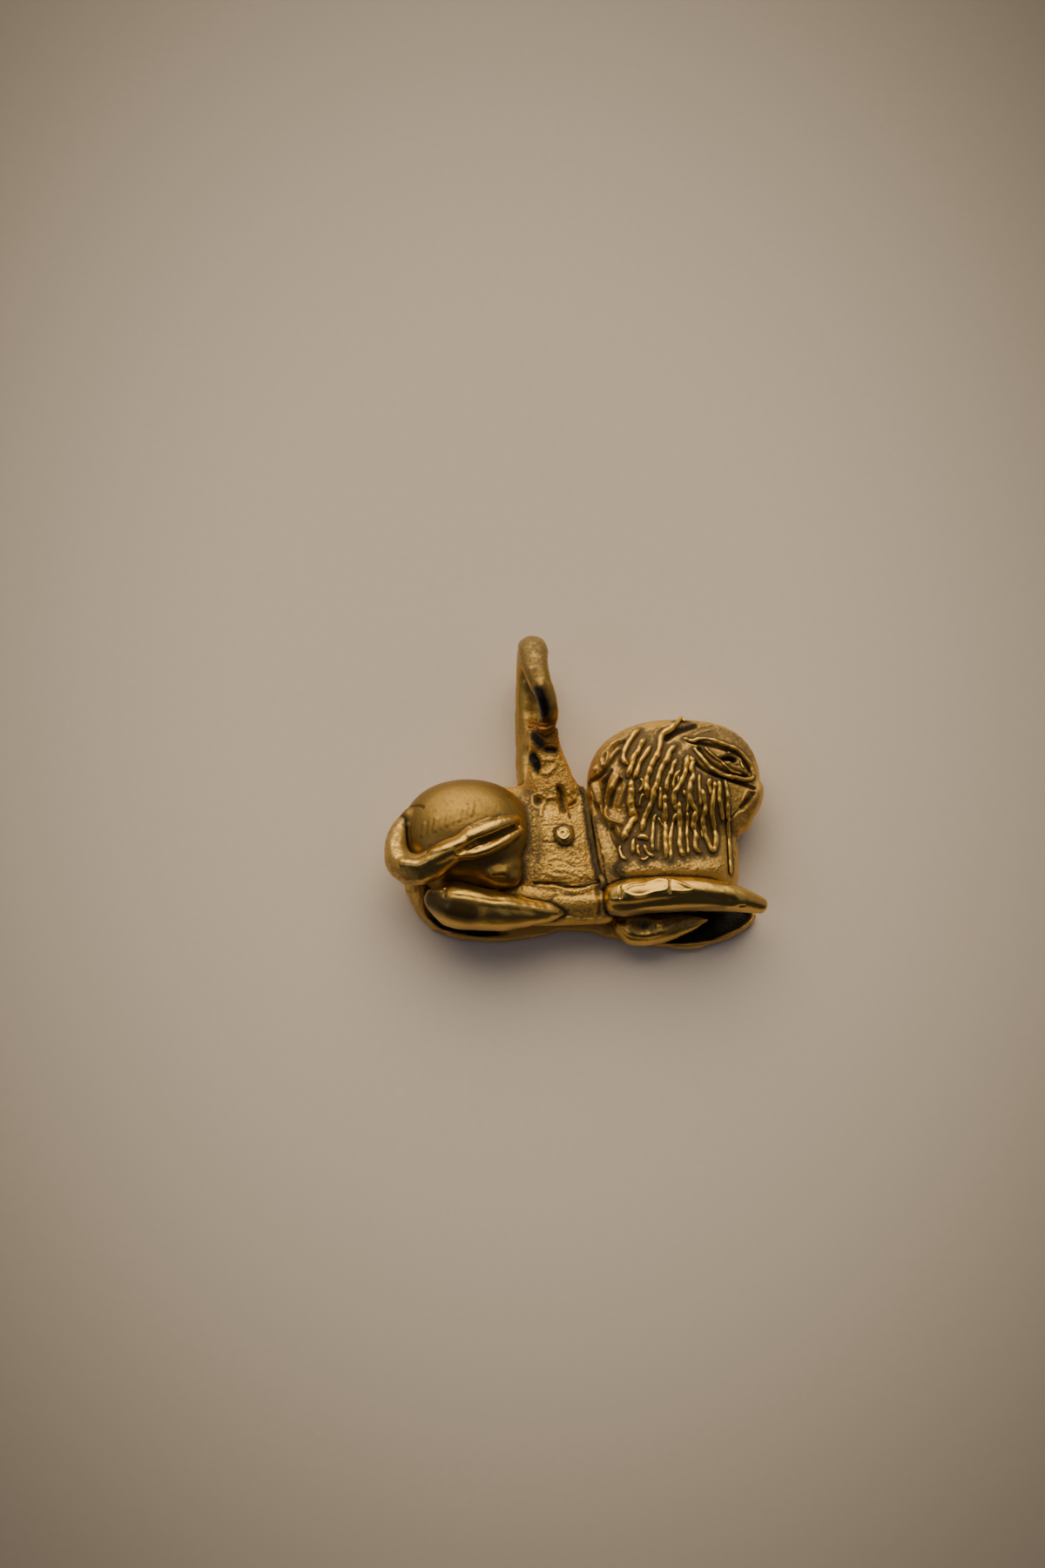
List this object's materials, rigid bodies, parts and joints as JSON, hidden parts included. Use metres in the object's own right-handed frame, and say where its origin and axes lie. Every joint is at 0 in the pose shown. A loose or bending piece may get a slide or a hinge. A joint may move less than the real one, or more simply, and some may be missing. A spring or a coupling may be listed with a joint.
{
  "type": "zodiac pendant",
  "caption": "Cast lion pendant in relief on a thin flat-backed plate, with a wavy mane, curled tail and a heavy brazed loop bail for a chain.",
  "frame": {"origin": "on the flat rear face of the back plate, on the lion's side seam line at mid height of the body", "axes": "+X towards the lion's head, +Y up the lion's body to the bail, +Z out of the front of the relief; -Z is the flat rear face's outward normal"},
  "size_m": [0.0337, 0.0273, 0.0093],
  "materials": {
    "polished_brass": "gilded, polished on the high places, antiqued in the recesses",
    "antiqued_brass": "gilded, dull and darkened",
    "brazing": "brown heat-stained brazing"
  },
  "bodies": {
    "root": {"back_plate": "antiqued_brass", "bail_bridge": "brazing", "bail_foot": "polished_brass", "bail_loop": "polished_brass", "belly_roll": "polished_brass", "chest": "polished_brass", "chin": "polished_brass", "eyeball": "polished_brass", "far_foreleg": "antiqued_brass", "haunch": "polished_brass", "head": "polished_brass", "hind_foot": "polished_brass", "knee": "polished_brass", "lower_lid": "polished_brass", "mane_lock_01": "polished_brass", "mane_lock_02": "polished_brass", "mane_lock_03": "polished_brass", "mane_lock_04": "polished_brass", "mane_lock_05": "polished_brass", "mane_lock_06": "polished_brass", "mane_lock_07": "polished_brass", "mane_lock_08": "polished_brass", "mane_lock_09": "polished_brass", "mane_lock_10": "polished_brass", "mane_lock_11": "polished_brass", "mane_lock_12": "polished_brass", "mane_lock_13": "polished_brass", "mane_lock_14": "polished_brass", "mane_lock_15": "polished_brass", "mane_lock_16": "polished_brass", "muzzle": "polished_brass", "nape_lock_1": "polished_brass", "nape_lock_2": "polished_brass", "nape_lock_3": "polished_brass", "nape_lock_4": "polished_brass", "near_foreleg": "polished_brass", "shoulder_flap": "polished_brass", "side_stud": "polished_brass", "tail": "polished_brass", "tail_tuft": "polished_brass", "throat_bead": "polished_brass", "torso": "polished_brass", "upper_lid": "polished_brass"}
  },
  "joints": []
}
